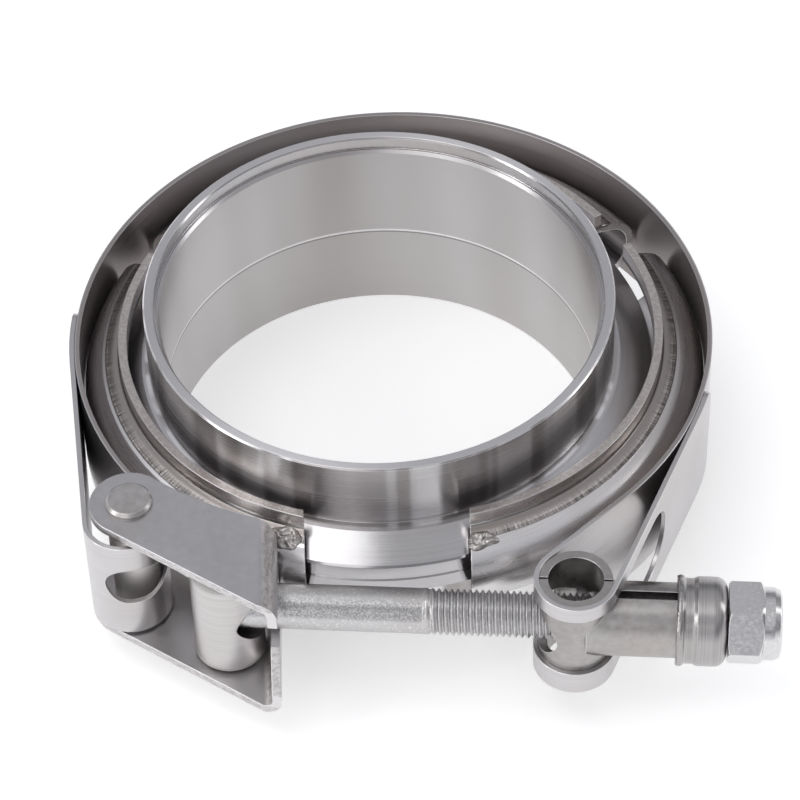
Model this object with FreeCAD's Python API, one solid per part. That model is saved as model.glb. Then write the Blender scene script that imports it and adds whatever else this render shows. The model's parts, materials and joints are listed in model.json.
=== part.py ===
import FreeCAD, Part
import math
import os

from FreeCAD import Vector

# V-band clamp for a 3 inch exhaust pipe: a slack strap with three V retainers round a
# male and female flange pair, closed by a swing-out T-bolt, a folded latch hook, a rolled
# trunnion and a locknut. Millimetres, +Z up.
# Origin: the flange bore's axis at the joint face between the two flanges.

# Pipe flanges
flange_wall_r = 41.7
flange_wall = 2.8
flange_half = 20.4
socket_lip = 1.9
socket_depth = 2.6
socket_chamfer = 0.5
rim_step = 7.1
rim_half = 3.4
cone_step = 1.2
cone_angle = 23.4
neck_groove_depth = 0.45
neck_groove_height = 0.9
spigot_depth = 2.4
spigot_wall = 3.4
spigot_clearance = 0.05
arris = 0.3

# Strap
strap_width = 22.0
strap_t = 0.85
strap_step = 8.0
layer_gap = 0.1
left_tail_angle = 171.8
right_tail_angle = -16.0
tail_corner_r = 3.0
weld_r = 1.8
ring_x = 2.3
ring_y = 0.0

# Retainers
retainer_t = 1.5
retainer_depth = 9.2
left_retainer_depth = 8.2
retainer_leg = 3.2
retainer_lip_height = 3.0
retainer_lip_drop = 0.2
retainer_leg_angle = 20.5
retainer_clearance = 0.1
retainer_front_left_x = -16.2
retainer_front_right_x = 12.1
left_retainer_step = 3.7
right_retainer_step = 4.35
back_retainer_step = 6.1
# How far each base stands off the rims, its depth, the direction of its seat, and its two ends
retainer_spans = {
    "retainer_left": (left_retainer_step, left_retainer_depth, 168.0, 153.0, 262.0),
    "retainer_right": (right_retainer_step, retainer_depth, 12.0, -80.0, 25.5),
    "retainer_back": (back_retainer_step, retainer_depth, 90.0, 34.5, 144.0),
}

# T-bolt, from the trunnion's axis
bolt_angle = -5.04
bolt_height = 0.8
bolt_r = 3.9
thread_r = 3.97
thread_start = -25.6
bolt_end = 34.3
bolt_chamfer = 0.6
trunnion_out = 8.85
trunnion_angle = -63.49
bolt_reach = 59.2
bolt_eccentric = 0.5

# Barrel at the bolt's end
barrel_r = 6.1
barrel_seat_clearance = 0.03
barrel_mouth_r = 5.2
barrel_mouth_drop = 1.0
barrel_mouth_depth = 5.6
barrel_chamfer = 0.5
barrel_end_clearance = 0.5
bolt_past_barrel = 3.2

# Hook and its pin
hook_t = 1.6
hook_gap = 23.2
hook_bend_r = 1.6
hook_end_r = 6.8
hook_lower_end_r = 8.3
hook_front_reach = 11.2
hook_rear_reach = 6.1
hook_lower_reach = 1.8
hook_rear_taper = 1.9
hook_rear_sag = 0.9
hook_slot_clearance = 0.35
hook_mouth_reach = 6.9
hook_mouth_height = 18.4
hook_waist_height = 12.0
hook_waist_clearance = 0.35
web_clearance = 1.1
pin_r = 4.1
pin_neck_r = 2.9
pin_neck_clearance = 0.02
pin_head_r = 4.0
pin_head_t = 1.1
pin_head_round = 0.5
pin_end_clearance = 0.2
pin_play = 0.05
pin_bearing_angle = 57.0

# Loops of the strap
left_loop_out = 6.5
left_loop_angle = 222.26
left_loop_r = 6.15
loop_clearance = 0.05
left_window_width = 10.6
left_window_height = 8.5
left_window_shift = 1.65
left_window_lift = 1.1
right_window_height = 14.0
right_window_start = 122.0
right_window_reach = 18.5

# Trunnion and ferrule
tube_r = 6.2
tube_wall = 1.5
tube_inset = 0.3
sleeve_r = 6.4
sleeve_bore_r = 4.35
sleeve_start = 2.0
sleeve_end = 24.0
sleeve_slot = 1.7
tube_mouth_r = 5.5
tube_mouth_drop = 1.1
seam_width = 0.4
seam_depth = 3.4
ferrule_start = 17.3
ferrule_r = 7.6
ferrule_fit = 0.05
ferrule_wall = 1.5
ferrule_round = 2.1
ferrule_rim = 0.8
ferrule_groove = 0.35
ferrule_groove_width = 1.4

# Locknut and its insert
nut_flats = 12.7
nut_height = 6.0
nut_seat = 0.15
nut_roll = -2.0
nut_chamfer = 0.75
collar_r = 6.2
collar_height = 3.1
collar_round = 1.4
nut_bore_clearance = 0.05
insert_wall = 1.0
insert_bore_clearance = 0.02
insert_fit = 0.02
insert_recess = 0.5


def at_angle(centre, radius, angle, height=0.0):
    a = math.radians(angle)
    return centre + Vector(radius * math.cos(a), radius * math.sin(a), height)


# Places worked out from the sizes above
touch = 0.01
bore_r = flange_wall_r - flange_wall
socket_r = flange_wall_r - socket_lip
cone_start_r = flange_wall_r + cone_step
rim_r = flange_wall_r + rim_step
strap_r = rim_r + strap_step
ring = Vector(ring_x, ring_y, 0)
tail_r = strap_r + strap_t + layer_gap
mid_r = strap_r - strap_t / 2
tail_mid_r = tail_r - strap_t / 2
left_loop = at_angle(ring, strap_r + left_loop_out, left_loop_angle)
trunnion = at_angle(ring, strap_r + trunnion_out, trunnion_angle)
right_loop_r = tube_r + loop_clearance
tube_height = strap_width - 2 * tube_inset
along = Vector(math.cos(math.radians(bolt_angle)), math.sin(math.radians(bolt_angle)), 0)
across = Vector(-along.y, along.x, 0)
up = Vector(0, 0, 1)
bolt_origin = trunnion + up * bolt_height
barrel = trunnion - along * bolt_reach + across * bolt_eccentric
bearing = math.radians(pin_bearing_angle)
bearing_reach = left_loop_r - pin_r - pin_play
pin = left_loop + Vector(math.cos(bearing), math.sin(bearing), 0) * bearing_reach
pull = (barrel - pin).normalize()
web_inner_x = barrel.x + barrel_r + web_clearance
web_outer_x = web_inner_x + hook_t
hook_front_y = barrel.y - hook_front_reach
hook_rear_y = barrel.y + hook_rear_reach
ear_inner = hook_gap / 2
ear_outer = ear_inner + hook_t
flange_top = flange_half
cone_drop = (rim_r - cone_start_r) * math.tan(math.radians(cone_angle))


def save(name, shape):
    shape = shape.removeSplitter()
    if not shape.isValid():
        raise ValueError(name + " is not a valid solid")
    if len(shape.Solids) != 1:
        raise ValueError(name + " has " + str(len(shape.Solids)) + " solids")
    shape = shape.Solids[0]
    shape.exportStep(os.path.join("parts", name + ".step"))
    print(name, round(shape.Volume, 1))


def arc_between(centre, radius, start, end, height):
    middle = (start + end) / 2
    ends = [at_angle(centre, radius, a, height) for a in (start, middle, end)]
    return Part.Arc(*ends).toShape()


def outline(points):
    return Part.makePolygon(points + [points[0]])


def turned(points, centre=Vector(0, 0, 0)):
    face = Part.Face(outline([centre + Vector(r, 0, z) for r, z in points]))
    return face.revolve(centre, up, 360)


def prism(points, direction):
    return Part.Face(outline(points)).extrude(direction)


def rod(radius, start, end, origin=bolt_origin):
    return Part.makeCylinder(radius, end - start, origin + along * start, along)


def edges_at(shape, test):
    return [edge for edge in shape.Edges if test(edge)]


# Pipe flanges

def flange_rim():
    # From the joint face out and up to the top of the cone and its neck groove
    cone_top = rim_half + cone_drop
    groove_r = flange_wall_r - neck_groove_depth
    return [
        (rim_r - arris, 0),
        (rim_r, arris),
        (rim_r, rim_half - arris),
        (rim_r - arris, rim_half + arris * math.tan(math.radians(cone_angle))),
        (cone_start_r, cone_top),
        (groove_r, cone_top + arris),
        (groove_r, cone_top + neck_groove_height),
        (flange_wall_r, cone_top + neck_groove_height + neck_groove_depth),
    ]


def upper_flange():
    spigot_r = bore_r + spigot_wall
    socket_floor = flange_top - socket_depth
    profile = [
        (bore_r, -spigot_depth),
        (spigot_r - arris, -spigot_depth),
        (spigot_r, -spigot_depth + arris),
        (spigot_r, 0),
    ]
    profile += flange_rim()
    profile += [
        (flange_wall_r, flange_top - arris),
        (flange_wall_r - arris, flange_top),
        (socket_r + arris, flange_top),
        (socket_r, flange_top - arris),
        (socket_r, socket_floor),
        (bore_r + socket_chamfer, socket_floor),
        (bore_r, socket_floor - socket_chamfer),
    ]
    return turned(profile)


def lower_flange():
    recess_r = bore_r + spigot_wall + spigot_clearance
    recess_depth = spigot_depth + spigot_clearance
    profile = [
        (bore_r + arris, -flange_half),
        (bore_r, -flange_half + arris),
        (bore_r, -recess_depth),
        (recess_r, -recess_depth),
        (recess_r, 0),
    ]
    profile += [(r, -z) for r, z in flange_rim()]
    profile += [
        (flange_wall_r, -flange_half + arris),
        (flange_wall_r - arris, -flange_half),
    ]
    return turned(profile)


# Strap

def tangent_angle(centre, reach, side):
    # Direction of the normal shared by the ring and a loop round centre
    offset = centre - ring
    toward = math.degrees(math.atan2(offset.y, offset.x))
    return toward + side * math.degrees(math.acos(reach / offset.Length))


def ribbon(arcs, thickness, width):
    # Closed outline of a band that follows tangent arcs, pushed up to its width
    left = []
    right = []
    for centre, radius, start, end in arcs:
        turn = 1 if end > start else -1
        near = arc_between(centre, radius - turn * thickness / 2, start, end, -width / 2)
        far = arc_between(centre, radius + turn * thickness / 2, start, end, -width / 2)
        left.append((near, start, end, centre, radius - turn * thickness / 2))
        right.append((far, start, end, centre, radius + turn * thickness / 2))
    edges = []
    for side in (left, right):
        last = None
        for edge, start, end, centre, radius in side:
            first = at_angle(centre, radius, start, -width / 2)
            if last is not None:
                edges.append(Part.makeLine(last, first))
            edges.append(edge)
            last = at_angle(centre, radius, end, -width / 2)
    for index, angle in ((0, 2), (-1, 3)):
        a = at_angle(left[index][3], left[index][4], arcs[index][angle], -width / 2)
        b = at_angle(right[index][3], right[index][4], arcs[index][angle], -width / 2)
        edges.append(Part.makeLine(a, b))
    wire = Part.Wire(Part.__sortEdges__(edges))
    return Part.Face(wire).extrude(up * width)


def strap():
    left_mid_r = left_loop_r + strap_t / 2
    right_mid_r = right_loop_r + strap_t / 2
    left_out = tangent_angle(left_loop, tail_mid_r - left_mid_r, -1) % 360
    left_in = tangent_angle(left_loop, mid_r + left_mid_r, -1) % 360
    right_in = tangent_angle(trunnion, mid_r + right_mid_r, 1)
    right_out = tangent_angle(trunnion, tail_mid_r - right_mid_r, 1)
    arcs = [
        (ring, tail_mid_r, left_tail_angle, left_out),
        (left_loop, left_mid_r, left_out, left_in + 180),
        (ring, mid_r, left_in, right_in),
        (trunnion, right_mid_r, right_in + 180, right_out + 360),
        (ring, tail_mid_r, right_out, right_tail_angle),
    ]
    band = ribbon(arcs, strap_t, strap_width)
    for angle in (left_tail_angle, right_tail_angle):
        tip = at_angle(ring, tail_mid_r, angle)
        ends = edges_at(band, lambda e: abs(e.Length - strap_t) < touch
                        and abs(e.CenterOfMass.z) > strap_width / 2 - touch
                        and (e.CenterOfMass - tip - up * e.CenterOfMass.z).Length < touch)
        band = band.makeFillet(tail_corner_r, ends)
    # Spot welds hold each folded-back tail to the ring
    tail_welds = [left_tail_angle + (left_out - left_tail_angle) * share for share in (0.3, 0.75)]
    tail_welds += [right_tail_angle + (right_out - right_tail_angle) * share for share in (0.35,)]
    for angle in tail_welds:
        for height in (-strap_width / 4, strap_width / 4):
            foot = at_angle(ring, strap_r - strap_t / 2, angle, height)
            outward = (foot - ring - up * height).normalize()
            band = band.fuse(Part.makeCylinder(weld_r, strap_t + layer_gap, foot, outward))
    band = band.cut(left_window())
    return band.cut(right_window(right_out))


def left_window():
    # Rounded window in front of the pin
    half = left_window_height / 2
    reach = left_window_width / 2 - half
    depth = Vector(0, -2 * left_loop_r, 0)
    middle = left_loop + Vector(left_window_shift, 0, left_window_lift)
    corner = middle - Vector(reach, 0, half)
    slot = Part.makeBox(2 * reach, -depth.y, left_window_height, corner + depth)
    for side in (-1, 1):
        end = middle + Vector(side * reach, 0, 0)
        slot = slot.fuse(Part.makeCylinder(half, -depth.y, end, depth))
    return slot


def right_window(out_angle):
    # Long window round the trunnion, which runs on up the folded-back layer
    half = right_window_height / 2
    low = trunnion + up * (bolt_height - half)
    wide_r = right_loop_r + 2 * strap_t
    narrow_r = right_loop_r - strap_t
    sweep = out_angle + 360 - right_window_start
    start = Vector(math.cos(math.radians(right_window_start)),
                   math.sin(math.radians(right_window_start)), 0)
    face = Part.Face(outline([
        low + start * narrow_r,
        low + start * wide_r,
        low + start * wide_r + up * right_window_height,
        low + start * narrow_r + up * right_window_height,
    ]))
    sector = face.revolve(low, up, sweep)
    outward = at_angle(Vector(0, 0, 0), 1, out_angle)
    run = Vector(-outward.y, outward.x, 0)
    foot = low + outward * narrow_r
    reach = run * right_window_reach
    flat = prism([foot, foot + reach, foot + reach + up * right_window_height,
                  foot + up * right_window_height], outward * (wide_r - narrow_r))
    tip = foot + reach + up * half
    tip_round = Part.makeCylinder(half, wide_r - narrow_r, tip, outward)
    return sector.fuse(flat).fuse(tip_round)


# Retainers

def retainer_centre(base_r, toward):
    # Each is formed to about the closed clamp's radius and pushed out to the slack strap
    push = strap_r - strap_t - retainer_clearance - base_r
    return at_angle(ring, push, toward)


def retainer(step, depth, toward, start, end):
    base_r = rim_r + step
    lip_r = base_r - depth
    centre = retainer_centre(base_r, toward)
    height = strap_width / 2 - retainer_lip_drop
    lip_out = lip_r + retainer_t
    crease = height - retainer_lip_height
    slope = math.tan(math.radians(retainer_leg_angle))
    leg_end_r = lip_out + retainer_leg
    leg_end = crease - retainer_leg * slope
    rise = base_r - leg_end_r
    bulge_r = (leg_end ** 2 + rise ** 2) / (2 * rise)
    bulge_x = base_r - bulge_r
    shoulder = math.atan2(leg_end, leg_end_r - bulge_x)
    inner_r = bulge_r - retainer_t
    inner_end = (bulge_x + inner_r * math.cos(shoulder), inner_r * math.sin(shoulder))
    throat = inner_end[1] + (inner_end[0] - lip_r) * slope

    def at(r, z):
        return Vector(r, 0, z)

    def half_profile(side):
        return [
            at(inner_end[0], side * inner_end[1]),
            at(lip_r, side * throat),
            at(lip_r, side * height),
            at(lip_out, side * height),
            at(lip_out, side * crease),
            at(leg_end_r, side * leg_end),
        ]

    upper = half_profile(1)
    lower = half_profile(-1)
    edges = [Part.makeLine(a, b) for a, b in zip(upper, upper[1:])]
    edges += [Part.makeLine(a, b) for a, b in zip(lower, lower[1:])]
    edges.append(Part.Arc(upper[-1], at(base_r, 0), lower[-1]).toShape())
    edges.append(Part.Arc(upper[0], at(bulge_x + inner_r, 0), lower[0]).toShape())
    section = Part.Face(Part.Wire(Part.__sortEdges__(edges)))
    body = section.revolve(Vector(0, 0, 0), up, end - start)
    creases = edges_at(body, lambda e: abs(abs(e.CenterOfMass.z) - crease) < touch
                       and e.Length > depth)
    creases += edges_at(body, lambda e: abs(abs(e.CenterOfMass.z) - throat) < touch
                        and e.Length > depth)
    body = body.makeFillet(retainer_t / 2, creases)
    body.rotate(Vector(0, 0, 0), up, start)
    body.translate(centre)
    # The two front ends are cut square to the bolt
    gap = Part.makeBox(retainer_front_right_x - retainer_front_left_x, 2 * strap_r, 2 * strap_width,
                       ring + Vector(retainer_front_left_x, -2 * strap_r, -strap_width))
    return body.cut(gap)


# Latch hook and its pin

def hook_bracket():
    # Folded channel: two ears and a web, open towards the pin
    inner_bend = hook_bend_r
    outer_bend = hook_bend_r + hook_t
    left_x = pin.x - 2 * hook_end_r
    length = hook_rear_y - hook_front_y + 5 * hook_end_r
    front = hook_front_y - hook_end_r
    outer = Part.makeBox(web_outer_x - left_x, length, 2 * ear_outer,
                         Vector(left_x, front, -ear_outer))
    folds = edges_at(outer, lambda e: abs(e.CenterOfMass.x - web_outer_x) < touch
                     and abs(abs(e.CenterOfMass.z) - ear_outer) < touch)
    outer = outer.makeFillet(outer_bend, folds)
    inner = Part.makeBox(web_inner_x - left_x + hook_t, length, hook_gap,
                         Vector(left_x - hook_t, front, -ear_inner))
    folds = edges_at(inner, lambda e: abs(e.CenterOfMass.x - web_inner_x) < touch
                     and abs(abs(e.CenterOfMass.z) - ear_inner) < touch)
    channel = outer.cut(inner.makeFillet(inner_bend, folds))
    upper_plan = ear_plan(hook_front_y, hook_end_r).extrude(up * ear_outer)
    lower_front_y = hook_front_y - hook_lower_reach
    lower_plan = ear_plan(lower_front_y, hook_lower_end_r).extrude(up * -ear_outer)
    shape = channel.common(upper_plan.fuse(lower_plan))
    shape = shape.cut(web_slot())
    shape = shape.cut(web_waist())
    for side in (-1, 1):
        foot = pin + up * (side * ear_inner)
        hole = Part.makeCylinder(pin_neck_r + pin_neck_clearance, 2 * hook_t, foot, up * side)
        shape = shape.cut(hole)
    return shape


def tangent_point(corner, side, end_r):
    # Where the straight edge from a corner meets the ear's round end
    offset = corner - pin
    toward = math.atan2(offset.y, offset.x)
    half_angle = math.acos(end_r / offset.Length)
    return at_angle(pin, end_r, math.degrees(toward + side * half_angle))


def ear_plan(front_y, end_r):
    front = Vector(web_inner_x - hook_bend_r, front_y, 0)
    front_corner = Vector(web_outer_x, front_y - hook_bend_r / 2, 0)
    rear_corner = Vector(web_outer_x, hook_rear_y, 0)
    rear = Vector(web_inner_x - hook_bend_r, hook_rear_y + hook_rear_taper, 0)
    front_touch = tangent_point(front, -1, end_r)
    rear_touch = tangent_point(rear, 1, end_r)
    back = at_angle(pin, end_r, math.degrees(math.atan2(-pull.y, -pull.x)))
    # The rear edge sags a little towards the bolt
    sag = (rear_touch + rear) * 0.5 - Vector(-pull.y, pull.x, 0) * hook_rear_sag
    edges = [
        Part.makeLine(front_touch, front),
        Part.makeLine(front, front_corner),
        Part.makeLine(front_corner, rear_corner),
        Part.makeLine(rear_corner, rear),
        Part.Arc(rear, sag, rear_touch).toShape(),
        Part.Arc(rear_touch, back, front_touch).toShape(),
    ]
    return Part.Face(Part.Wire(edges))


def bolt_at_web():
    share = (web_inner_x + hook_t / 2 - bolt_origin.x) / along.x
    return bolt_origin + along * share


def web_slot():
    # Slot for the bolt, open towards the front with a flared mouth
    seat = bolt_at_web()
    half = bolt_r + hook_slot_clearance
    x = web_inner_x - hook_bend_r
    depth = Vector(hook_t + 2 * hook_bend_r, 0, 0)
    slot = Part.makeCylinder(half, depth.x, Vector(x, seat.y, seat.z), Vector(1, 0, 0))
    past = hook_front_y - hook_lower_reach - hook_t
    flare = hook_mouth_height / 2
    slot = slot.fuse(prism([
        Vector(x, seat.y, seat.z - half),
        Vector(x, barrel.y - hook_mouth_reach, seat.z - half),
        Vector(x, past, -flare),
        Vector(x, past, flare),
        Vector(x, barrel.y - hook_mouth_reach, seat.z + half),
        Vector(x, seat.y, seat.z + half),
    ], depth))
    return slot


def web_waist():
    # The web narrows behind the bolt, to pass the left retainer
    step, depth, toward = retainer_spans["retainer_left"][:3]
    base_r = rim_r + step
    foot = retainer_centre(base_r, toward) - up * (hook_waist_height / 2)
    return Part.makeCylinder(base_r + hook_waist_clearance, hook_waist_height, foot)


def hook_pin():
    body_half = ear_inner - pin_end_clearance
    neck_end = ear_outer
    profile = [
        (0, 0),
        (pin_r, 0),
        (pin_r, body_half - arris),
        (pin_r - arris, body_half),
        (pin_neck_r, body_half),
        (pin_neck_r, neck_end),
        (pin_head_r, neck_end),
        (pin_head_r, neck_end + pin_head_t - pin_head_round),
        (pin_head_r - pin_head_round, neck_end + pin_head_t),
        (0, neck_end + pin_head_t),
    ]
    half = turned(profile, pin)
    return half.fuse(half.mirror(Vector(0, 0, 0), up))


# T-bolt

def bolt_rod():
    start = -bolt_reach - bolt_past_barrel
    shank = rod(bolt_r, start, thread_start)
    thread = rod(thread_r, thread_start, bolt_end)
    shape = shank.fuse(thread)
    ends = edges_at(shape, lambda e: abs((e.CenterOfMass - bolt_origin).dot(along)
                                         - bolt_end) < touch)
    return shape.makeChamfer(bolt_chamfer, ends)


def bolt_barrel():
    half = ear_inner - barrel_end_clearance
    body = Part.makeCylinder(barrel_r, 2 * half, barrel - up * half)
    body = body.makeChamfer(barrel_chamfer, edges_at(body, lambda e: abs(
        abs(e.CenterOfMass.z) - half) < touch and e.Closed))
    seat_start = -bolt_reach - bolt_past_barrel
    body = body.cut(rod(bolt_r + barrel_seat_clearance, seat_start, 0))
    mouth_start = -bolt_reach + barrel_r - barrel_mouth_depth
    lowered = bolt_origin - up * barrel_mouth_drop
    return body.cut(rod(barrel_mouth_r, mouth_start, 0, lowered))


# Trunnion and ferrule

def trunnion_sleeve():
    half = tube_height / 2
    foot = trunnion - up * half
    shape = Part.makeCylinder(tube_r, tube_height, foot)
    shape = shape.fuse(rod(sleeve_r, sleeve_start, sleeve_end))
    shape = shape.cut(Part.makeCylinder(tube_r - tube_wall, tube_height, foot))
    shape = shape.cut(rod(sleeve_bore_r, -2 * tube_r, sleeve_end))
    # The bolt enters the tube through a wider mouth
    shape = shape.cut(rod(tube_mouth_r, -2 * tube_r, 0, bolt_origin - up * tube_mouth_drop))
    # The rolled sheet leaves a slot along the top of the sleeve
    slot_corner = bolt_origin + along * tube_r - across * (sleeve_slot / 2)
    slot = prism([slot_corner, slot_corner + across * sleeve_slot,
                  slot_corner + across * sleeve_slot + up * sleeve_r,
                  slot_corner + up * sleeve_r], along * sleeve_end)
    shape = shape.cut(slot)
    # Seams at the tube's top and bottom rims
    for side in (-1, 1):
        rim = trunnion + up * (side * half) - across * (seam_width / 2)
        depth = up * (-side * seam_depth)
        for reach in (-2 * tube_r, 2 * tube_r):
            seam = prism([rim, rim + across * seam_width,
                          rim + across * seam_width + depth, rim + depth], along * reach)
            shape = shape.cut(seam)
    return shape


def ferrule():
    end = sleeve_end + ferrule_fit + ferrule_wall
    rim_end = ferrule_start + ferrule_rim
    groove_r = ferrule_r - ferrule_groove
    groove_end = rim_end + ferrule_groove + ferrule_groove_width
    cup = along_bolt([(0, ferrule_start), (ferrule_r, ferrule_start), (ferrule_r, rim_end),
                      (groove_r, rim_end + ferrule_groove), (groove_r, groove_end),
                      (ferrule_r, groove_end + 2 * ferrule_groove), (ferrule_r, end), (0, end)])
    rims = edges_at(cup, lambda e: e.Closed and abs(
        (e.CenterOfMass - bolt_origin).dot(along) - end) < touch and e.Length > ferrule_r)
    cup = cup.makeFillet(ferrule_round, rims)
    cup = cup.cut(rod(sleeve_r + ferrule_fit, ferrule_start, sleeve_end + ferrule_fit))
    return cup.cut(rod(sleeve_bore_r, ferrule_start, end))


# Locknut and insert

def nut_start():
    return sleeve_end + ferrule_fit + ferrule_wall + nut_seat


def along_bolt(points):
    # Solid of revolution about the bolt's axis, from (radius, place along it) pairs
    face = Part.Face(outline([bolt_origin + along * s + across * r for r, s in points]))
    return face.revolve(bolt_origin, along, 360)


def locknut():
    start = nut_start()
    top = start + nut_height
    corner_r = nut_flats / 2 / math.cos(math.radians(30))
    corners = []
    for index in range(6):
        angle = math.radians(nut_roll + 60 * index)
        corners.append(bolt_origin + along * start + across * (corner_r * math.cos(angle))
                       + up * (corner_r * math.sin(angle)))
    hexagon = prism(corners, along * nut_height)
    edge_r = corner_r - nut_chamfer
    trim = along_bolt([(0, start), (edge_r, start), (corner_r, start + nut_chamfer / 2),
                       (corner_r, top - nut_chamfer), (edge_r - nut_chamfer / 2, top), (0, top)])
    collar_top = top + collar_height
    dome = along_bolt([(0, top), (collar_r, top), (collar_r, collar_top - collar_round),
                       (collar_r - collar_round * 0.3, collar_top - collar_round * 0.3),
                       (collar_r - collar_round, collar_top), (0, collar_top)])
    nut = hexagon.common(trim).fuse(dome)
    bore = thread_r + nut_bore_clearance
    insert_r = bore + insert_wall + insert_fit
    nut = nut.cut(rod(bore, start, collar_top))
    return nut.cut(rod(insert_r, top, collar_top))


def nut_insert():
    top = nut_start() + nut_height
    inner = thread_r + insert_bore_clearance
    outer = thread_r + nut_bore_clearance + insert_wall
    end = top + collar_height - insert_recess
    return along_bolt([(inner, top), (outer, top), (outer, end), (inner, end)])


os.makedirs("parts", exist_ok=True)
save("upper_flange", upper_flange())
save("lower_flange", lower_flange())
save("strap", strap())
for retainer_name, retainer_place in retainer_spans.items():
    save(retainer_name, retainer(*retainer_place))
save("hook_bracket", hook_bracket())
save("hook_pin", hook_pin())
save("bolt_rod", bolt_rod())
save("bolt_barrel", bolt_barrel())
save("trunnion_sleeve", trunnion_sleeve())
save("ferrule", ferrule())
save("locknut", locknut())
save("nut_insert", nut_insert())
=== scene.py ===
import json
import math
import random

import bmesh
import bpy
from mathutils import Matrix, Vector, noise
from mathutils.bvhtree import BVHTree


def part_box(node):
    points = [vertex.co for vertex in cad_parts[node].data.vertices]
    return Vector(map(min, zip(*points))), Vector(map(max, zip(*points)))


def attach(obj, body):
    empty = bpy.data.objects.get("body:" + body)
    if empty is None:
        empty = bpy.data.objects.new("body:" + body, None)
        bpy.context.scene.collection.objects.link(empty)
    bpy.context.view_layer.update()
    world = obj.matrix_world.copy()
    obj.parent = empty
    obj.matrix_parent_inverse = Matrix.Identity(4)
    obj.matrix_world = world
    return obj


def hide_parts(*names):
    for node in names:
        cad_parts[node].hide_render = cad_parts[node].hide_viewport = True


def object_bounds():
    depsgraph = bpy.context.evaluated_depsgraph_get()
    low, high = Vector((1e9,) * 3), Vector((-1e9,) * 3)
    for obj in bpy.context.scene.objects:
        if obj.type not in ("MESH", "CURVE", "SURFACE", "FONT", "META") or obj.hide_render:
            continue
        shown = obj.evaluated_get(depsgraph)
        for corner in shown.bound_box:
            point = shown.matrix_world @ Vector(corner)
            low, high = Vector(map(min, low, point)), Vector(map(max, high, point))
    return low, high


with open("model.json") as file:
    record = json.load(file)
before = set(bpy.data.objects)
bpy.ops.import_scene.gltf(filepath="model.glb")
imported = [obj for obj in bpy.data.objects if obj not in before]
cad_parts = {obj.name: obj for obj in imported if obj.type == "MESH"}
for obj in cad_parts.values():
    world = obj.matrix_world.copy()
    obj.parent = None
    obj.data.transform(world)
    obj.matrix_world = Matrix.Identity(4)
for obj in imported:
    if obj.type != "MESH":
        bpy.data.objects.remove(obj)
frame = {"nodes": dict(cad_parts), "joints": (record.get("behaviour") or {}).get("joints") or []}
cad_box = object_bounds()
nodes = frame["nodes"]
joints = {joint["name"]: joint for joint in frame["joints"]}

MM = 0.001
UP = Vector((0, 0, 1))
ORIGIN = Vector((0, 0, 0))

# Places on the CAD pieces
RING_CENTRE = Vector((2.3, 0, 0)) * MM
STRAP_R = 56.8 * MM
BORE_R = 39.1 * MM
BORE_EDGE_R = 39.6 * MM
SOCKET_R = 41.2 * MM
LEDGE_R = 42.6 * MM
FLANGE_END_Z = 20.3 * MM
LIP_TOP_Z = 10.76 * MM
LIP_FOOT_Z = 8.1 * MM
CREASE_Z = 7.78 * MM
BEAD_FOOT_Z = 7.0 * MM
EAR_Z = 11.5 * MM
THREAD_START = -25.6 * MM

# Thread of the bolt
THREAD_PITCH = 1.0583 * MM
THREAD_DEPTH = 0.6 * MM
THREAD_CREST = 0.13
THREAD_SHARPNESS = 1.08
THREAD_SLICES = 14
THREAD_STEPS = 40
THREAD_CHAMFER = 0.6 * MM
SKIN_GAP = 0.004 * MM
HARD_EDGE = math.radians(38)

# Weld scars: each one's place on its retainer, then its length, width and height, in millimetres
SCARS = {
    "left": ((-17.2, -45.0, 7.9), (6.0, 4.2, 0.9)),
    "right": ((15.9, -46.6, 7.2), (6.4, 3.0, 0.8)),
}
SCAR_RINGS = 12
SCAR_STEPS = 40
SCAR_ROOT = 0.08 * MM
SCAR_THINNEST = 0.02 * MM
SCAR_RAGGED = 0.35
LUMP_SIZE = 1.1 * MM
LUMP_DETAIL = 0.5 * MM

# Sheared mouth of the cup
MOUTH_STEPS = 150
MOUTH_SEED = 7
MOUTH_ROOT = 0.95 * MM

# Metal finishes; noise scales are per metre
EDGE_R = 0.22 * MM
FINE_EDGE_R = 0.12 * MM
THIN_EDGE_R = 0.16 * MM
GRAIN_DEPTH = 0.002 * MM
GRAIN_SCALE = 2600.0
CLOUD_SCALE = 55.0
WARM_SCALE = 32.0
WARM_SHARE = 0.35
EDGE_HIGHLIGHT_SHARE = 0.6
ACROSS_GROOVES = 0.25
TONE_SPREAD = (0.3, 0.7)
MARK_SPREAD = (0.4, 0.6)
ROUGH_SPREAD = (0.25, 0.75)
STEEL_TINT = (1.0, 0.985, 0.99)

# Studio and camera
FLOOR_LIFT = 0.45
FLOOR_GREY = 0.82
FLOOR_REACH = 3.0
FLOOR_GAP = 0.05 * MM
SKY_STOPS = ((0.5, 0.9), (0.57, 0.8), (0.66, 0.24), (0.78, 0.36), (0.86, 0.6), (0.95, 0.65))
CAMERA_PLACE = Vector((3.15, -430.5, 461.9)) * MM
CAMERA_TILT = math.radians(47.49)
CAMERA_ROLL = math.radians(-1.82)
CAMERA_LENS = 157.3
CAMERA_SENSOR = 36.0

bolt_axis = Vector(joints["nut_turn"]["axis"]).normalized()
bolt_origin = Vector(joints["nut_turn"]["pos_m"])
bolt_across = UP.cross(bolt_axis).normalized()
flange_seam_z = max(v.co.z for v in nodes["lower_flange"].data.vertices
                    if Vector(v.co[:2]).length < BORE_R)


def color(r, g, b):
    return (r, g, b, 1.0)


def metal(r, g, b):
    # Tones are written neutral and share one tint
    return color(r * STEEL_TINT[0], g * STEEL_TINT[1], b * STEEL_TINT[2])


# Tone of the painted highlights along edges
EDGE_HIGHLIGHT_TONE = color(0.82, 0.815, 0.82)
WARM_PATCH = color(0.45, 0.405, 0.375)

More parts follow.
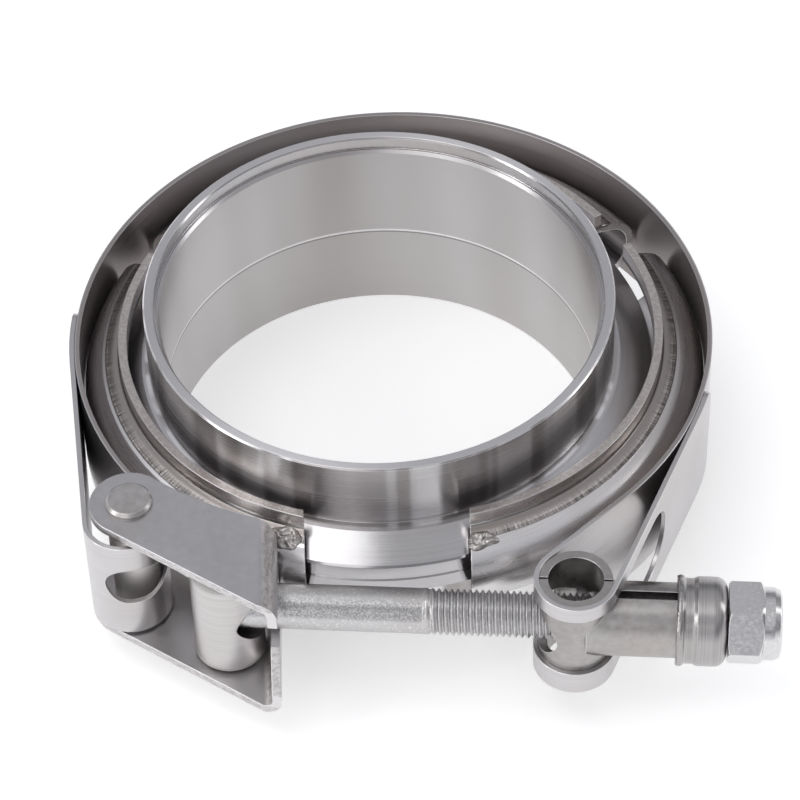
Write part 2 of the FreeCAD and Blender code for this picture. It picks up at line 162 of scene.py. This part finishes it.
# Light tone, dark tone and roughness of each base finish
FINISHES = {
    "turned": (metal(0.56, 0.56, 0.57), metal(0.45, 0.445, 0.45), 0.205),
    "strap": (metal(0.62, 0.615, 0.62), metal(0.53, 0.52, 0.52), 0.32),
    "retainer": (metal(0.74, 0.735, 0.735), metal(0.67, 0.66, 0.66), 0.3),
    "barrel": (metal(0.62, 0.61, 0.605), metal(0.52, 0.505, 0.495), 0.34),
    "cup": (metal(0.45, 0.445, 0.445), metal(0.33, 0.32, 0.31), 0.3),
    "sleeve": (metal(0.44, 0.43, 0.425), metal(0.33, 0.315, 0.30), 0.32),
    "hook": (metal(0.54, 0.54, 0.55), metal(0.47, 0.465, 0.47), 0.36),
    "pin": (metal(0.57, 0.565, 0.56), metal(0.41, 0.395, 0.38), 0.34),
    "nut": (metal(0.68, 0.68, 0.685), metal(0.60, 0.60, 0.60), 0.22),
    "rod": (metal(0.56, 0.56, 0.56), metal(0.48, 0.48, 0.48), 0.36),
    "scar": (color(0.50, 0.485, 0.47), color(0.27, 0.245, 0.23), 0.32),
}

# Dark tone and light tone of each speckled or clouded place
# Painted reflection bands on the polished flange wall
WALL_REFLECTION_BANDS = (metal(0.44, 0.42, 0.41), metal(0.97, 0.97, 0.97))
UPPER_BORE = (metal(0.42, 0.40, 0.39), metal(0.62, 0.615, 0.615))
LOWER_BORE = (metal(0.44, 0.42, 0.41), metal(0.60, 0.595, 0.59))
BEAD_TONES = (metal(0.28, 0.255, 0.235), metal(0.48, 0.45, 0.425))
FOOT_TONES = (metal(0.04, 0.035, 0.03), metal(0.34, 0.315, 0.295))
LIP_TOP_TONES = (metal(0.40, 0.365, 0.33), metal(0.54, 0.51, 0.485))
FOLD_TONES = (metal(0.50, 0.475, 0.45), metal(0.84, 0.815, 0.79))
SHEARED_TONES = (metal(0.42, 0.41, 0.40), metal(0.66, 0.65, 0.645))
STRIP_TONES = (metal(0.20, 0.20, 0.205), metal(0.50, 0.50, 0.50))
NYLON_TONES = (metal(0.62, 0.60, 0.55), metal(0.74, 0.72, 0.67))


class Look:
    """A node material built from left to right."""

    def __init__(self, name):
        self.material = bpy.data.materials.new(name)
        self.material.use_nodes = True
        self.tree = self.material.node_tree
        self.shader = self.tree.nodes["Principled BSDF"]
        self.coords = self.add("ShaderNodeTexCoord").outputs["Object"]
        self.rounded = None
        self.rim = None

    # Nodes

    def add(self, kind, **settings):
        node = self.tree.nodes.new(kind)
        for key, value in settings.items():
            setattr(node, key, value)
        return node

    def feed(self, socket, value):
        if isinstance(value, bpy.types.NodeSocket):
            self.tree.links.new(value, socket)
        else:
            socket.default_value = value

    def source(self, name):
        return self.shader.inputs[name].links[0].from_socket

    def math(self, operation, *values):
        node = self.add("ShaderNodeMath", operation=operation)
        for socket, value in zip(node.inputs, values):
            self.feed(socket, value)
        return node.outputs[0]

    def vector(self, operation, *values):
        node = self.add("ShaderNodeVectorMath", operation=operation)
        for socket, value in zip(node.inputs, values):
            self.feed(socket, value)
        single = operation in ("LENGTH", "DOT_PRODUCT")
        return node.outputs[1] if single else node.outputs[0]

    def times(self, *values):
        product = values[0]
        for value in values[1:]:
            product = self.math("MULTIPLY", product, value)
        return product

    def join(self, x, y, z):
        node = self.add("ShaderNodeCombineXYZ")
        for socket, value in zip(node.inputs, (x, y, z)):
            self.feed(socket, value)
        return node.outputs[0]

    def noise(self, vector, scale=1.0, detail=3.0, rough=0.55, distortion=0.0):
        node = self.add("ShaderNodeTexNoise")
        self.feed(node.inputs["Vector"], vector)
        node.inputs["Scale"].default_value = scale
        node.inputs["Detail"].default_value = detail
        node.inputs["Roughness"].default_value = rough
        node.inputs["Distortion"].default_value = distortion
        return node.outputs["Fac"]

    def ramp(self, value, low, high, start=0.0, end=1.0):
        node = self.add("ShaderNodeMapRange", clamp=True)
        node.interpolation_type = "SMOOTHSTEP"
        self.feed(node.inputs["Value"], value)
        self.feed(node.inputs["From Min"], low)
        self.feed(node.inputs["From Max"], high)
        self.feed(node.inputs["To Min"], start)
        self.feed(node.inputs["To Max"], end)
        return node.outputs["Result"]

    def band(self, value, start, full, fade, end):
        # 1 from full to fade, 0 before start and after end
        return self.times(self.ramp(value, start, full), self.ramp(value, end, fade))

    def mix(self, factor, low, high):
        node = self.add("ShaderNodeMix", data_type="RGBA")
        self.feed(node.inputs["Factor"], factor)
        self.feed(node.inputs[6], low)
        self.feed(node.inputs[7], high)
        return node.outputs[2]

    def bump(self, height, distance, below):
        node = self.add("ShaderNodeBump")
        self.feed(node.inputs["Height"], height)
        node.inputs["Distance"].default_value = distance
        if below is not None:
            self.feed(node.inputs["Normal"], below)
        return node.outputs[0]

    # Places

    def about(self, centre, axis):
        # Distance out from an axis, distance along it, and the offset from the centre
        offset = self.vector("SUBTRACT", self.coords, tuple(centre))
        along = self.vector("DOT_PRODUCT", offset, tuple(axis))
        line = self.add("ShaderNodeVectorMath", operation="SCALE")
        line.inputs[0].default_value = tuple(axis)
        self.feed(line.inputs["Scale"], along)
        out = self.vector("LENGTH", self.vector("SUBTRACT", offset, line.outputs[0]))
        return out, along, offset

    def level(self):
        # Height above or below the joint face
        return self.math("ABSOLUTE", self.vector("DOT_PRODUCT", self.coords, tuple(UP)))

    def stretched(self, scale):
        return self.vector("MULTIPLY", self.coords, scale)

    def turned_lines(self, place, fine_out, fine_along, sway):
        # Tool lines that run round an axis and wander a little
        out, along, offset = place
        rings = self.join(self.times(out, fine_out), self.times(along, fine_along), 0.0)
        return self.vector("ADD", rings, self.vector("MULTIPLY", offset, (sway, sway, sway)))

    def edges(self, radius):
        # Rounded edges, and how near a point is to one
        node = self.add("ShaderNodeBevel")
        node.samples = 8
        node.inputs["Radius"].default_value = radius
        geometry = self.add("ShaderNodeNewGeometry")
        facing = self.vector("DOT_PRODUCT", node.outputs[0], geometry.outputs["Normal"])
        return node.outputs[0], self.ramp(facing, 0.995, 0.9)

    # Finish

    def paint(self, mask, strength, tone):
        base = self.source("Base Color")
        painted = self.mix(self.times(mask, strength), base, tone)
        self.feed(self.shader.inputs["Base Color"], painted)

    def roughen(self, mask, amount):
        rougher = self.math("ADD", self.source("Roughness"), self.times(mask, amount))
        self.feed(self.shader.inputs["Roughness"], rougher)

    # Painted highlights along the rounded edges
    def paint_edge_highlights(self, strength):
        self.paint(self.rim, strength, EDGE_HIGHLIGHT_TONE)

    def grooved(self, offset, axis, amount):
        # Highlights spread across grooves that run round the axis
        around = self.vector("CROSS_PRODUCT", offset, tuple(axis))
        turn = self.add("ShaderNodeVectorTransform", vector_type="VECTOR",
                        convert_from="OBJECT", convert_to="WORLD")
        self.feed(turn.inputs[0], self.vector("NORMALIZE", around))
        self.feed(self.shader.inputs["Tangent"], turn.outputs[0])
        self.shader.inputs["Anisotropic"].default_value = amount
        self.shader.inputs["Anisotropic Rotation"].default_value = ACROSS_GROOVES

    def finish(self, light, dark, rough, lines, line_depth, grain_depth=GRAIN_DEPTH,
               mottle=0.25, spread=0.05, edge=EDGE_R):
        """Drawn or turned lines, fine grain, soft tone changes and painted highlights along the
        edges.
        """
        if self.rounded is None:
            self.rounded, self.rim = self.edges(edge)
        streak = self.noise(lines, 1.0, 4.0, 0.6)
        grain = self.noise(self.coords, GRAIN_SCALE)
        cloud = self.noise(self.coords, CLOUD_SCALE, 3.0, 0.6)
        mixed = self.math("ADD", self.times(streak, 1 - mottle), self.times(cloud, mottle))
        shade = self.mix(self.ramp(mixed, *TONE_SPREAD), dark, light)
        self.feed(self.shader.inputs["Base Color"], shade)
        warm = self.noise(self.coords, WARM_SCALE, 2.0, 0.5, 0.4)
        self.paint(self.ramp(warm, 0.48, 0.68), WARM_SHARE, WARM_PATCH)
        self.paint_edge_highlights(EDGE_HIGHLIGHT_SHARE)
        self.shader.inputs["Metallic"].default_value = 1.0
        roughness = self.ramp(streak, *ROUGH_SPREAD, rough - spread, rough + spread)
        self.feed(self.shader.inputs["Roughness"], roughness)
        normal = self.bump(streak, line_depth, self.rounded)
        normal = self.bump(grain, grain_depth, normal)
        self.feed(self.shader.inputs["Normal"], normal)


def dress(node, look):
    nodes[node].data.materials.clear()
    nodes[node].data.materials.append(look.material)


# Finishes of the CAD pieces

def flange_look(name):
    # Mirror-turned outside with painted reflection bands on the wall, satin bore, bright matte
    # end faces
    look = Look(name)
    place = look.about(ORIGIN, UP)
    out, along, offset = place
    lines = look.turned_lines(place, 5200.0, 3600.0, 9.0)
    look.finish(*FINISHES["turned"], lines, 0.0015 * MM, grain_depth=0.0005 * MM, mottle=0.5,
                spread=0.035, edge=FINE_EDGE_R)

    # Painted reflection: dark and light bands round the polished wall
    around = look.noise(look.vector("MULTIPLY", offset, (1.0, 1.0, 0.0)), 110.0, 2.0, 0.5, 0.3)
    wall = look.band(out, SOCKET_R, SOCKET_R + 0.2 * MM, LEDGE_R - 0.5 * MM, LEDGE_R)
    wall = look.times(wall, 0.75)
    look.paint(wall, 1.0, look.mix(look.ramp(around, 0.45, 0.58), *WALL_REFLECTION_BANDS))

    bore = look.ramp(out, BORE_EDGE_R, BORE_EDGE_R - 0.3 * MM)
    cloud = look.noise(look.vector("MULTIPLY", offset, (30.0, 30.0, 6.0)), 1.0, 2.0, 0.5)
    cloud = look.ramp(cloud, *TONE_SPREAD)
    is_lower = look.ramp(along, flange_seam_z + 0.05 * MM, flange_seam_z - 0.05 * MM)
    satin = look.mix(is_lower, look.mix(cloud, *UPPER_BORE), look.mix(cloud, *LOWER_BORE))
    look.paint(bore, 1.0, satin)

    # Painted highlight along the seam in the bore, with a painted shadow line just under it
    from_seam = look.math("ABSOLUTE", look.math("SUBTRACT", along, flange_seam_z))
    seam_highlight = look.ramp(from_seam, 0.24 * MM, 0.16 * MM)
    look.paint(look.times(bore, seam_highlight), 1.0, metal(1.0, 1.0, 1.0))
    shadow_z = flange_seam_z - 0.42 * MM
    from_shadow = look.math("ABSOLUTE", look.math("SUBTRACT", along, shadow_z))
    shadow = look.ramp(from_shadow, 0.22 * MM, 0.12 * MM)
    look.paint(look.times(bore, shadow), 0.6, metal(0.12, 0.115, 0.11))

    end_face = look.ramp(look.math("ABSOLUTE", along), FLANGE_END_Z, FLANGE_END_Z + 0.07 * MM)
    look.paint(end_face, 1.0, metal(0.66, 0.66, 0.67))
    look.paint_edge_highlights(0.8)
    look.roughen(bore, 0.13)
    look.roughen(end_face, 0.2)
    look.roughen(wall, 0.06)
    look.grooved(offset, UP, 0.8)
    return look


def strap_look():
    # Satin outside; the inside face is painted darker and browner
    look = Look("satin strap")
    lines = look.stretched((16.0, 16.0, 3400.0))
    out, along, offset = look.about(RING_CENTRE, UP)
    look.finish(*FINISHES["strap"], lines, 0.002 * MM, mottle=0.35)
    inside = look.ramp(out, STRAP_R - 0.2 * MM, STRAP_R - 0.25 * MM)
    look.paint(inside, 0.65, metal(0.31, 0.275, 0.26))
    look.paint_edge_highlights(0.7)
    look.grooved(offset, UP, 0.55)
    return look


def retainer_look(name):
    # A drawn bead lies in the crease under the lip, with a row of tool marks at its foot
    look = Look(name)
    place = look.about(RING_CENTRE, UP)
    out, along, offset = place
    height = look.math("ABSOLUTE", along)
    bead = look.band(height, BEAD_FOOT_Z, BEAD_FOOT_Z + 0.08 * MM, CREASE_Z - 0.08 * MM, CREASE_Z)
    foot = look.band(height, BEAD_FOOT_Z - 0.18 * MM, BEAD_FOOT_Z - 0.12 * MM,
                     BEAD_FOOT_Z + 0.04 * MM, BEAD_FOOT_Z + 0.1 * MM)
    marked = look.band(height, BEAD_FOOT_Z - 0.2 * MM, BEAD_FOOT_Z - 0.1 * MM,
                       BEAD_FOOT_Z + 0.1 * MM, BEAD_FOOT_Z + 0.5 * MM)
    crease_shade = look.band(height, CREASE_Z - 0.1 * MM, CREASE_Z,
                       CREASE_Z + 0.1 * MM, CREASE_Z + 0.4 * MM)
    lip_painted_light = look.ramp(height, LIP_FOOT_Z, LIP_FOOT_Z + 0.3 * MM)
    lip_top = look.ramp(height, LIP_TOP_Z - 0.06 * MM, LIP_TOP_Z)

    # Marks vary round the ring only, so they cross the bead
    around = look.vector("NORMALIZE", look.vector("MULTIPLY", offset, (1.0, 1.0, 0.0)))
    marks = look.noise(look.vector("MULTIPLY", around, (170.0, 170.0, 0.0)), 1.0, 2.0, 0.6)
    climb = look.ramp(height, BEAD_FOOT_Z, CREASE_Z)
    ridge = look.times(climb, look.math("SUBTRACT", 1.0, climb), 4.0)
    relief = look.math("ADD", ridge, look.times(marks, marked))
    rounded, look.rim = look.edges(EDGE_R)
    look.rounded = look.bump(relief, 0.16 * MM, rounded)
    lines = look.turned_lines(place, 2400.0, 2400.0, 30.0)
    look.finish(*FINISHES["retainer"], lines, 0.001 * MM)

    mark_tone = look.ramp(marks, *MARK_SPREAD)
    look.paint(bead, 0.85, look.mix(look.times(mark_tone, marked), *BEAD_TONES))
    look.paint(foot, 0.85, look.mix(mark_tone, *FOOT_TONES))
    # Painted shade darkens the crease under the lip
    look.paint(crease_shade, 0.75, metal(0.16, 0.145, 0.135))
    # The upstanding lip is painted paler: painted light on it
    look.paint(lip_painted_light, 0.9, metal(0.93, 0.90, 0.88))
    grain = look.ramp(look.noise(look.coords, 1400.0, 4.0, 0.7), *MARK_SPREAD)
    look.paint(lip_top, 0.85, look.mix(grain, *LIP_TOP_TONES))
    look.paint_edge_highlights(0.7)
    return look


def turned_look(name, centre, axis, finish):
    look = Look(name)
    place = look.about(centre, axis)
    lines = look.turned_lines(place, 4200.0, 4200.0, 18.0)
    look.finish(*FINISHES[finish], lines, 0.0015 * MM)
    look.grooved(place[2], axis, 0.6)
    return look


def barrel_look():
    # The last millimetre at each end is rougher and painted darker, as painted shade
    low, high = (Vector(corner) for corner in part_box("bolt_barrel"))
    look = turned_look("barrel", (low + high) / 2, UP, "barrel")
    end = look.ramp(look.level(), high.z - 1.4 * MM, high.z - 0.9 * MM)
    look.paint(end, 0.8, metal(0.45, 0.44, 0.43))
    look.roughen(end, 0.35)
    return look


def sheet_look(name, finish):
    look = Look(name)
    lines = look.stretched((700.0, 700.0, 700.0))
    look.finish(*FINISHES[finish], lines, 0.0015 * MM, mottle=0.5)
    return look


def hook_look():
    # Sheared faces of the ears are torn, the folds are rubbed bright, and the inside is painted
    # paler as painted light
    look = sheet_look("hook sheet", "hook")
    geometry = look.add("ShaderNodeNewGeometry")
    normal_up = look.vector("DOT_PRODUCT", geometry.outputs["True Normal"], tuple(UP))
    flat = look.math("ABSOLUTE", normal_up)
    level = look.level()
    inside = look.ramp(level, EAR_Z + 0.25 * MM, EAR_Z + 0.1 * MM)
    fold = look.band(flat, 0.25, 0.4, 0.93, 0.985)
    sheared = look.times(look.ramp(flat, 0.25, 0.15), look.ramp(level, EAR_Z, EAR_Z + 0.1 * MM))
    tear = look.ramp(look.noise(look.stretched((900.0, 900.0, 2500.0)), 1.0, 4.0, 0.7), 0.35, 0.6)
    # Painted light: the faces between the ears are painted paler
    look.paint(inside, 0.7, metal(0.74, 0.735, 0.735))
    look.paint(fold, 0.7, look.mix(tear, *FOLD_TONES))
    look.paint(sheared, 0.8, look.mix(tear, *SHEARED_TONES))
    # Painted highlights along the thin edges
    thin_edge_highlight = look.edges(THIN_EDGE_R)[1]
    look.paint(thin_edge_highlight, 0.9, EDGE_HIGHLIGHT_TONE)
    return look


def pin_look():
    # Peened heads; the shank between the ears is painted near white and rougher, as painted light
    look = sheet_look("peened pin", "pin")
    shank_painted_light = look.ramp(look.level(), EAR_Z + 0.1 * MM, EAR_Z - 0.1 * MM)
    look.paint(shank_painted_light, 1.0, metal(0.97, 0.95, 0.93))
    look.roughen(shank_painted_light, 0.3)
    return look


def plated_look(name, finish, depth):
    # Grainy plating with bright specks
    look = Look(name)
    lines = look.stretched((1500.0, 1500.0, 1500.0))
    look.finish(*FINISHES[finish], lines, depth, grain_depth=0.004 * MM, mottle=0.2)
    speck = look.noise(look.coords, 1900.0, 2.0, 0.8)
    look.paint(look.ramp(speck, 0.55, 0.7), 0.6, metal(0.85, 0.84, 0.82))
    return look


def rod_look():
    # A coarse grained strip runs along the front of the plain shank
    look = plated_look("grainy plate", "rod", 0.006 * MM)
    out, along, offset = look.about(bolt_origin, bolt_axis)
    strip_way = (UP - bolt_across * 0.9).normalized()
    toward = look.math("DIVIDE", look.vector("DOT_PRODUCT", offset, tuple(strip_way)), out)
    on_shank = look.ramp(along, THREAD_START + 0.2 * MM, THREAD_START - 0.6 * MM)
    strip = look.times(look.ramp(toward, 0.84, 0.95), on_shank)
    grain = look.ramp(look.noise(look.coords, 3200.0, 3.0, 0.7), 0.4, 0.62)
    look.paint(strip, 0.75, look.mix(grain, *STRIP_TONES))
    return look


def nylon_look():
    look = Look("nylon")
    tone = look.mix(look.noise(look.coords, 300.0), *NYLON_TONES)
    look.feed(look.shader.inputs["Base Color"], tone)
    look.shader.inputs["Roughness"].default_value = 0.45
    grain = look.bump(look.noise(look.coords, 1800.0), 0.004 * MM, None)
    look.feed(look.shader.inputs["Normal"], grain)
    return look


dress("upper_flange", flange_look("turned flange, upper"))
dress("lower_flange", flange_look("turned flange, lower"))
dress("strap", strap_look())
for side in ("left", "right", "back"):
    dress("retainer_" + side, retainer_look("retainer " + side))
dress("hook_bracket", hook_look())
dress("hook_pin", pin_look())
dress("bolt_barrel", barrel_look())
dress("trunnion_sleeve", sheet_look("rolled sheet", "sleeve"))
cup = turned_look("drawn cup", bolt_origin, bolt_axis, "cup")
dress("ferrule", cup)
dress("locknut", plated_look("bright plate", "nut", 0.0008 * MM))
dress("nut_insert", nylon_look())
rod = rod_look()
dress("bolt_rod", rod)


# Pieces that scene.py adds

def show(name, verts, faces, look, body):
    mesh = bpy.data.meshes.new(name)
    mesh.from_pydata([tuple(v) for v in verts], [], faces)
    skin = bmesh.new()
    skin.from_mesh(mesh)
    bmesh.ops.recalc_face_normals(skin, faces=skin.faces)
    skin.to_mesh(mesh)
    skin.free()
    mesh.shade_smooth()
    piece = bpy.data.objects.new(name, mesh)
    bpy.context.scene.collection.objects.link(piece)
    piece.data.materials.append(look.material)
    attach(piece, body)
    return piece


def along_bolt(name):
    """How far along the bolt's axis and how far out each corner of a node is."""
    for vertex in nodes[name].data.vertices:
        offset = nodes[name].matrix_world @ vertex.co - bolt_origin
        place = offset.dot(bolt_axis)
        yield place, (offset - bolt_axis * place).length


def bolt_reach(name):
    places = [place for place, radius in along_bolt(name)]
    return min(places), max(places)


def radius_between(name, start, end):
    return max(radius for place, radius in along_bolt(name) if start <= place <= end)


def bolt_point(radius, angle, place):
    sideways = bolt_across * (radius * math.cos(angle)) + UP * (radius * math.sin(angle))
    return bolt_origin + bolt_axis * place + sideways


def threaded_bolt():
    # Shank and cut thread as one skin: rings of points whose radius follows the helix
    start, end = bolt_reach("bolt_rod")
    shank_r = radius_between("bolt_rod", start, THREAD_START - MM)
    crest_r = radius_between("bolt_rod", THREAD_START, end) - SKIN_GAP
    count = int((end - THREAD_START) / THREAD_PITCH * THREAD_SLICES)
    places = [start, THREAD_START - 0.02 * MM]
    places += [THREAD_START + (end - THREAD_START) * i / count for i in range(count + 1)]

    def thread_radius(place, step):
        turn = (place / THREAD_PITCH - step / THREAD_STEPS) % 1.0
        dip = max(0.0, 1 - abs(turn - 0.5) * 2 - THREAD_CREST) / (1 - THREAD_CREST)
        run_in = min(1.0, (place - THREAD_START) / (2 * THREAD_PITCH))
        radius = crest_r - THREAD_DEPTH * min(1.0, dip * THREAD_SHARPNESS) * run_in
        return min(radius, crest_r - THREAD_CHAMFER + (end - place))

    verts = []
    for place in places:
        for step in range(THREAD_STEPS):
            radius = shank_r if place < THREAD_START else thread_radius(place, step)
            verts.append(bolt_point(radius, 2 * math.pi * step / THREAD_STEPS, place))
    faces = []
    for ring in range(len(places) - 1):
        low = ring * THREAD_STEPS
        high = low + THREAD_STEPS
        for step in range(THREAD_STEPS):
            after = (step + 1) % THREAD_STEPS
            faces.append((low + step, low + after, high + after, high + step))
    last = (len(places) - 1) * THREAD_STEPS
    faces.append(tuple(reversed(range(THREAD_STEPS))))
    faces.append(tuple(range(last, last + THREAD_STEPS)))

    bolt = show("threaded_bolt", verts, faces, rod, "bolt")
    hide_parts("bolt_rod")
    split = bolt.modifiers.new("edges", "EDGE_SPLIT")
    split.split_angle = HARD_EDGE


def weld_scar(name, node, near, size, look):
    # A lumpy spot weld that follows the surface under it
    length, width, height = (edge * MM for edge in size)
    mesh = nodes[node].data
    surface = BVHTree.FromPolygons([v.co for v in mesh.vertices],
                                   [p.vertices for p in mesh.polygons])
    centre, normal = surface.find_nearest(Vector(near) * MM)[:2]
    lengthwise = UP.cross(normal).normalized()
    sideways = normal.cross(lengthwise)
    top = [centre + normal * height * 0.6]
    base = [centre - normal * SCAR_ROOT]
    for ring in range(1, SCAR_RINGS + 1):
        share = ring / SCAR_RINGS
        for step in range(SCAR_STEPS):
            angle = 2 * math.pi * step / SCAR_STEPS
            way = Vector((math.cos(angle), math.sin(angle), 0))
            reach = share * (1 + SCAR_RAGGED * noise.noise(way * 1.7 + Vector(near)))
            spot = centre + lengthwise * (way.x * reach * length / 2)
            spot += sideways * (way.y * reach * width / 2)
            foot, lean = surface.find_nearest(spot)[:2]
            lump = 0.6 + 0.9 * noise.noise(spot / LUMP_SIZE)
            lump += 0.25 * noise.noise(spot / LUMP_DETAIL)
            rise = height * lump * (1 - share ** 3)
            top.append(foot + lean * max(SCAR_THINNEST, rise))
            base.append(foot - lean * SCAR_ROOT)

    under = len(top)
    faces = []
    for step in range(SCAR_STEPS):
        after = (step + 1) % SCAR_STEPS
        faces.append((0, 1 + step, 1 + after))
        faces.append((under, under + 1 + after, under + 1 + step))
        for ring in range(SCAR_RINGS - 1):
            low = 1 + ring * SCAR_STEPS
            high = low + SCAR_STEPS
            faces.append((low + step, high + step, high + after, low + after))
            low += under
            high += under
            faces.append((low + after, high + after, high + step, low + step))
        rim = 1 + (SCAR_RINGS - 1) * SCAR_STEPS
        faces.append((rim + step, under + rim + step, under + rim + after, rim + after))
    show(name, top + base, faces, look, "band")


def torn_mouth():
    # Ragged sheared edge round the mouth of the drawn cup
    start = bolt_reach("ferrule")[0]
    outer = radius_between("ferrule", start - MM, start + 0.3 * MM)
    chance = random.Random(MOUTH_SEED)
    shear = [chance.random() for _ in range(MOUTH_STEPS)]
    rings = []
    for step in range(MOUTH_STEPS):
        angle = 2 * math.pi * step / MOUTH_STEPS
        way = Vector((math.cos(angle), math.sin(angle), 0))
        swell = noise.noise(way * 2.6) * 0.5 + 0.5
        ragged = 0.6 * shear[step] + 0.4 * shear[step - 1]
        tooth = (0.1 + 0.55 * swell * ragged) * MM
        proud = (0.05 + 0.32 * swell * shear[step - 2]) * MM
        section = (
            (MOUTH_ROOT, outer - 0.12 * MM),
            (0.6 * MM, outer + proud * 0.7),
            (0.15 * MM, outer + proud),
            (-tooth, outer - 0.1 * MM + proud * 0.5),
            (-tooth * 0.7, outer - 0.6 * MM),
            (0.3 * MM, outer - 0.8 * MM),
            (MOUTH_ROOT, outer - 0.5 * MM),
        )
        rings.append([bolt_point(radius, angle, start + reach) for reach, radius in section])

    sides = len(rings[0])
    faces = []
    for step in range(MOUTH_STEPS):
        low = step * sides
        high = (step + 1) % MOUTH_STEPS * sides
        for side in range(sides):
            after = (side + 1) % sides
            faces.append((low + side, low + after, high + after, high + side))
    show("torn_mouth", sum(rings, []), faces, cup, "trunnion")


threaded_bolt()
scar = plated_look("weld scar", "scar", 0.01 * MM)
for side, (near, size) in SCARS.items():
    weld_scar("weld_scar_" + side, "retainer_" + side, near, size, scar)
torn_mouth()


# Studio

def emitter(name, place, width, height, power):
    data = bpy.data.lights.new(name, "AREA")
    data.shape = "RECTANGLE"
    data.size = width
    data.size_y = height
    data.energy = power
    light = bpy.data.objects.new(name, data)
    light.location = place
    light.rotation_euler = (-Vector(place)).to_track_quat("-Z", "Y").to_euler()
    bpy.context.scene.collection.objects.link(light)


def seen(tree):
    # 1 where the camera, a reflection or glass looks, so all three show the same background
    path = tree.nodes.new("ShaderNodeLightPath")
    either = path.outputs["Is Camera Ray"]
    for ray in ("Is Glossy Ray", "Is Transmission Ray"):
        larger = tree.nodes.new("ShaderNodeMath")
        larger.operation = "MAXIMUM"
        tree.links.new(either, larger.inputs[0])
        tree.links.new(path.outputs[ray], larger.inputs[1])
        either = larger.outputs[0]
    return either


def floor():
    material = bpy.data.materials.new("pale floor")
    material.use_nodes = True
    tree = material.node_tree
    tree.nodes.clear()
    matte = tree.nodes.new("ShaderNodeBsdfDiffuse")
    matte.inputs["Color"].default_value = color(FLOOR_GREY, FLOOR_GREY, FLOOR_GREY)
    glow = tree.nodes.new("ShaderNodeEmission")
    lift = tree.nodes.new("ShaderNodeMath")
    lift.operation = "MULTIPLY"
    lift.inputs[1].default_value = FLOOR_LIFT
    both = tree.nodes.new("ShaderNodeAddShader")
    output = tree.nodes.new("ShaderNodeOutputMaterial")
    tree.links.new(seen(tree), lift.inputs[0])
    tree.links.new(lift.outputs[0], glow.inputs["Strength"])
    tree.links.new(matte.outputs[0], both.inputs[0])
    tree.links.new(glow.outputs[0], both.inputs[1])
    tree.links.new(both.outputs[0], output.inputs["Surface"])

    low = cad_box[0].z - FLOOR_GAP
    corners = [(x * FLOOR_REACH, y * FLOOR_REACH, low)
               for x, y in ((-1, -1), (1, -1), (1, 1), (-1, 1))]
    mesh = bpy.data.meshes.new("floor")
    mesh.from_pydata(corners, [], [(0, 1, 2, 3)])
    plane = bpy.data.objects.new("floor", mesh)
    plane.data.materials.append(material)
    bpy.context.scene.collection.objects.link(plane)


def studio_sky():
    # Greys by height: pale below, darker where the polished wall looks, pale overhead
    world = bpy.data.worlds.new("studio")
    bpy.context.scene.world = world
    world.use_nodes = True
    tree = world.node_tree
    direction = tree.nodes.new("ShaderNodeTexCoord")
    split = tree.nodes.new("ShaderNodeSeparateXYZ")
    tree.links.new(direction.outputs["Generated"], split.inputs[0])
    tones = tree.nodes.new("ShaderNodeValToRGB")
    first, last = tones.color_ramp.elements
    first.color = color(0.9, 0.9, 0.9)
    last.color = color(0.6, 0.6, 0.61)
    for position, grey in SKY_STOPS:
        stop = tones.color_ramp.elements.new(position)
        stop.color = color(grey, grey * 1.01, grey * 1.06)
    height = tree.nodes.new("ShaderNodeMath")
    height.operation = "MULTIPLY_ADD"
    height.inputs[1].default_value = 0.5
    height.inputs[2].default_value = 0.5
    tree.links.new(split.outputs["Z"], height.inputs[0])
    tree.links.new(height.outputs[0], tones.inputs[0])
    tree.links.new(tones.outputs["Color"], tree.nodes["Background"].inputs["Color"])


def photo_camera():
    forward = Vector((0, math.cos(CAMERA_TILT), -math.sin(CAMERA_TILT)))
    side = Vector((1, 0, 0))
    rise = side.cross(forward)
    right = side * math.cos(CAMERA_ROLL) + rise * math.sin(CAMERA_ROLL)
    top = rise * math.cos(CAMERA_ROLL) - side * math.sin(CAMERA_ROLL)
    data = bpy.data.cameras.new("photo")
    data.lens = CAMERA_LENS
    data.sensor_width = CAMERA_SENSOR
    data.dof.use_dof = False
    camera = bpy.data.objects.new("photo", data)
    turn = Matrix((right, top, -forward)).transposed().to_4x4()
    camera.matrix_world = Matrix.Translation(CAMERA_PLACE) @ turn
    bpy.context.scene.collection.objects.link(camera)
    bpy.context.scene.camera = camera


emitter("key", (-0.35, -0.1, 1.1), 0.8, 0.5, 2.5)
emitter("front fill", (-0.45, -1.0, 0.5), 0.7, 0.7, 2.0)
emitter("left strip", (-1.0, -0.35, 0.45), 0.3, 0.8, 3.2)
emitter("right strip", (1.0, 0.1, 0.4), 0.2, 0.8, 1.6)
floor()
studio_sky()
photo_camera()

bpy.context.scene.view_settings.view_transform = "Standard"
